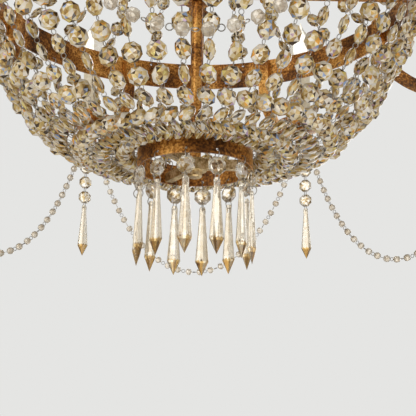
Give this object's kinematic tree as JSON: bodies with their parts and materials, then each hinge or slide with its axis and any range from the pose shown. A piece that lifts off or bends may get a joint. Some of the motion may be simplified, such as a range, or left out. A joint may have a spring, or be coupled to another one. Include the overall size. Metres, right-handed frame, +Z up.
{
  "type": "crystal basket chandelier",
  "caption": "Hanging chandelier with a crystal basket and tent, candle arms, bead swags and prism drops on a bronze-finished frame.",
  "frame": {"origin": "centre of the canopy's flat seat against the ceiling", "axes": "+Z up; the chandelier hangs along -Z; -Y is the side that the picture shows"},
  "size_m": [0.8506, 0.8506, 0.8641],
  "materials": {
    "bronze": "sponged antique bronze over steel, mottled, satin",
    "steel": "zinc plated, dull",
    "wire": "bright nickel wire",
    "crystal": "cut and polished, pale champagne",
    "prism": "cut and polished, pale champagne",
    "bead": "cut and polished, clear with a warm tint",
    "candle": "ivory, matt",
    "socket": "black phenolic, matt",
    "bulb": "clear blown glass"
  },
  "bodies": {
    "ceiling": {"ceiling_bracket": "steel", "canopy": "bronze", "canopy_nipple": "bronze", "canopy_loop": "bronze"},
    "link_1": {"chain_link_1": "bronze"},
    "link_2": {"chain_link_2": "bronze"},
    "link_3": {"chain_link_3": "bronze"},
    "frame": {"top_loop": "bronze", "column": "bronze", "crown_ring": "bronze", "crown_spider": "bronze", "rim_ring": "bronze", "rim_spider": "bronze", "basket_ring": "bronze", "tripod": "bronze", "tripod_washer": "bronze", "cap_nut": "bronze", "arms": "bronze", "arm_screws": "bronze", "drop_collars": "bronze", "bobeches": "bronze", "candle_cups": "bronze", "candle_sleeves": "candle", "candle_sockets": "socket", "candle_bulbs": "bulb", "inner_cups": "bronze", "inner_sockets": "socket", "inner_bulbs": "bulb", "basket_crystals": "crystal", "basket_links": "wire", "tent_crystals": "crystal", "tent_links": "wire"},
    "ring_drop_01": {"ring_drop_01": "prism"},
    "ring_drop_02": {"ring_drop_02": "prism"},
    "ring_drop_03": {"ring_drop_03": "prism"},
    "ring_drop_04": {"ring_drop_04": "prism"},
    "ring_drop_05": {"ring_drop_05": "prism"},
    "ring_drop_06": {"ring_drop_06": "prism"},
    "ring_drop_07": {"ring_drop_07": "prism"},
    "ring_drop_08": {"ring_drop_08": "prism"},
    "ring_drop_09": {"ring_drop_09": "prism"},
    "ring_drop_10": {"ring_drop_10": "prism"},
    "ring_drop_11": {"ring_drop_11": "prism"},
    "ring_drop_12": {"ring_drop_12": "prism"},
    "arm_drop_1": {"arm_drop_1": "prism"},
    "arm_drop_2": {"arm_drop_2": "prism"},
    "arm_drop_3": {"arm_drop_3": "prism"},
    "arm_drop_4": {"arm_drop_4": "prism"},
    "arm_drop_5": {"arm_drop_5": "prism"},
    "arm_drop_6": {"arm_drop_6": "prism"},
    "arm_drop_7": {"arm_drop_7": "prism"},
    "arm_drop_8": {"arm_drop_8": "prism"},
    "swag_1": {"swag_1": "bead"},
    "swag_2": {"swag_2": "bead"},
    "swag_3": {"swag_3": "bead"},
    "swag_4": {"swag_4": "bead"},
    "swag_5": {"swag_5": "bead"},
    "swag_6": {"swag_6": "bead"},
    "swag_7": {"swag_7": "bead"},
    "swag_8": {"swag_8": "bead"}
  },
  "joints": [
    {"name": "chain_swing_1", "type": "hinge", "parent": "ceiling", "child": "link_1", "pos_m": [0, 0, -0.06802], "axis": [1, 0, 0], "range_deg": [-15, 15]},
    {"name": "chain_swing_2", "type": "hinge", "parent": "link_1", "child": "link_2", "pos_m": [0, 0, -0.09552], "axis": [0, 1, 0], "range_deg": [-15, 15]},
    {"name": "chain_swing_3", "type": "hinge", "parent": "link_2", "child": "link_3", "pos_m": [0, 0, -0.12302], "axis": [1, 0, 0], "range_deg": [-15, 15]},
    {"name": "chain_swing_4", "type": "hinge", "parent": "link_3", "child": "frame", "pos_m": [0, 0, -0.15052], "axis": [0, 1, 0], "range_deg": [-15, 15]},
    {"name": "ring_drop_01_swing", "type": "hinge", "parent": "frame", "child": "ring_drop_01", "pos_m": [-0.00872, -0.05835, -0.7595], "axis": [-0.989, 0.1478, 0], "range_deg": [-12, 25]},
    {"name": "ring_drop_02_swing", "type": "hinge", "parent": "frame", "child": "ring_drop_02", "pos_m": [0.02162, -0.05489, -0.7595], "axis": [-0.9304, -0.3665, 0], "range_deg": [-12, 25]},
    {"name": "ring_drop_03_swing", "type": "hinge", "parent": "frame", "child": "ring_drop_03", "pos_m": [0.04617, -0.03673, -0.7595], "axis": [-0.6225, -0.7826, 0], "range_deg": [-12, 25]},
    {"name": "ring_drop_04_swing", "type": "hinge", "parent": "frame", "child": "ring_drop_04", "pos_m": [0.05835, -0.00872, -0.7595], "axis": [-0.1478, -0.989, 0], "range_deg": [-12, 25]},
    {"name": "ring_drop_05_swing", "type": "hinge", "parent": "frame", "child": "ring_drop_05", "pos_m": [0.05489, 0.02162, -0.7595], "axis": [0.3665, -0.9304, 0], "range_deg": [-12, 25]},
    {"name": "ring_drop_06_swing", "type": "hinge", "parent": "frame", "child": "ring_drop_06", "pos_m": [0.03673, 0.04617, -0.7595], "axis": [0.7826, -0.6225, 0], "range_deg": [-12, 25]},
    {"name": "ring_drop_07_swing", "type": "hinge", "parent": "frame", "child": "ring_drop_07", "pos_m": [0.00872, 0.05835, -0.7595], "axis": [0.989, -0.1478, 0], "range_deg": [-12, 25]},
    {"name": "ring_drop_08_swing", "type": "hinge", "parent": "frame", "child": "ring_drop_08", "pos_m": [-0.02162, 0.05489, -0.7595], "axis": [0.9304, 0.3665, 0], "range_deg": [-12, 25]},
    {"name": "ring_drop_09_swing", "type": "hinge", "parent": "frame", "child": "ring_drop_09", "pos_m": [-0.04617, 0.03673, -0.7595], "axis": [0.6225, 0.7826, 0], "range_deg": [-12, 25]},
    {"name": "ring_drop_10_swing", "type": "hinge", "parent": "frame", "child": "ring_drop_10", "pos_m": [-0.05835, 0.00872, -0.7595], "axis": [0.1478, 0.989, 0], "range_deg": [-12, 25]},
    {"name": "ring_drop_11_swing", "type": "hinge", "parent": "frame", "child": "ring_drop_11", "pos_m": [-0.05489, -0.02162, -0.7595], "axis": [-0.3665, 0.9304, 0], "range_deg": [-12, 25]},
    {"name": "ring_drop_12_swing", "type": "hinge", "parent": "frame", "child": "ring_drop_12", "pos_m": [-0.03673, -0.04617, -0.7595], "axis": [-0.7826, 0.6225, 0], "range_deg": [-12, 25]},
    {"name": "arm_drop_1_swing", "type": "hinge", "parent": "frame", "child": "arm_drop_1", "pos_m": [0.1635, -0.39473, -0.6001], "axis": [-0.9239, -0.3827, 0], "range_deg": [-12, 20]},
    {"name": "arm_drop_2_swing", "type": "hinge", "parent": "frame", "child": "arm_drop_2", "pos_m": [0.39473, -0.1635, -0.6001], "axis": [-0.3827, -0.9239, 0], "range_deg": [-12, 20]},
    {"name": "arm_drop_3_swing", "type": "hinge", "parent": "frame", "child": "arm_drop_3", "pos_m": [0.39473, 0.1635, -0.6001], "axis": [0.3827, -0.9239, 0], "range_deg": [-12, 20]},
    {"name": "arm_drop_4_swing", "type": "hinge", "parent": "frame", "child": "arm_drop_4", "pos_m": [0.1635, 0.39473, -0.6001], "axis": [0.9239, -0.3827, 0], "range_deg": [-12, 20]},
    {"name": "arm_drop_5_swing", "type": "hinge", "parent": "frame", "child": "arm_drop_5", "pos_m": [-0.1635, 0.39473, -0.6001], "axis": [0.9239, 0.3827, 0], "range_deg": [-12, 20]},
    {"name": "arm_drop_6_swing", "type": "hinge", "parent": "frame", "child": "arm_drop_6", "pos_m": [-0.39473, 0.1635, -0.6001], "axis": [0.3827, 0.9239, 0], "range_deg": [-12, 20]},
    {"name": "arm_drop_7_swing", "type": "hinge", "parent": "frame", "child": "arm_drop_7", "pos_m": [-0.39473, -0.1635, -0.6001], "axis": [-0.3827, 0.9239, 0], "range_deg": [-12, 20]},
    {"name": "arm_drop_8_swing", "type": "hinge", "parent": "frame", "child": "arm_drop_8", "pos_m": [-0.1635, -0.39473, -0.6001], "axis": [-0.9239, 0.3827, 0], "range_deg": [-12, 20]},
    {"name": "swag_1_swing", "type": "hinge", "parent": "frame", "child": "swag_1", "pos_m": [0.27519, -0.27519, -0.6001], "axis": [-0.7071, -0.7071, 0], "range_deg": [-12, 15]},
    {"name": "swag_2_swing", "type": "hinge", "parent": "frame", "child": "swag_2", "pos_m": [0.38918, 0, -0.6001], "axis": [0, -1, 0], "range_deg": [-12, 15]},
    {"name": "swag_3_swing", "type": "hinge", "parent": "frame", "child": "swag_3", "pos_m": [0.27519, 0.27519, -0.6001], "axis": [0.7071, -0.7071, 0], "range_deg": [-12, 15]},
    {"name": "swag_4_swing", "type": "hinge", "parent": "frame", "child": "swag_4", "pos_m": [0, 0.38918, -0.6001], "axis": [1, 0, 0], "range_deg": [-12, 15]},
    {"name": "swag_5_swing", "type": "hinge", "parent": "frame", "child": "swag_5", "pos_m": [-0.27519, 0.27519, -0.6001], "axis": [0.7071, 0.7071, 0], "range_deg": [-12, 15]},
    {"name": "swag_6_swing", "type": "hinge", "parent": "frame", "child": "swag_6", "pos_m": [-0.38918, 0, -0.6001], "axis": [0, 1, 0], "range_deg": [-12, 15]},
    {"name": "swag_7_swing", "type": "hinge", "parent": "frame", "child": "swag_7", "pos_m": [-0.27519, -0.27519, -0.6001], "axis": [-0.7071, 0.7071, 0], "range_deg": [-12, 15]},
    {"name": "swag_8_swing", "type": "hinge", "parent": "frame", "child": "swag_8", "pos_m": [0, -0.38918, -0.6001], "axis": [-1, 0, 0], "range_deg": [-12, 15]}
  ]
}
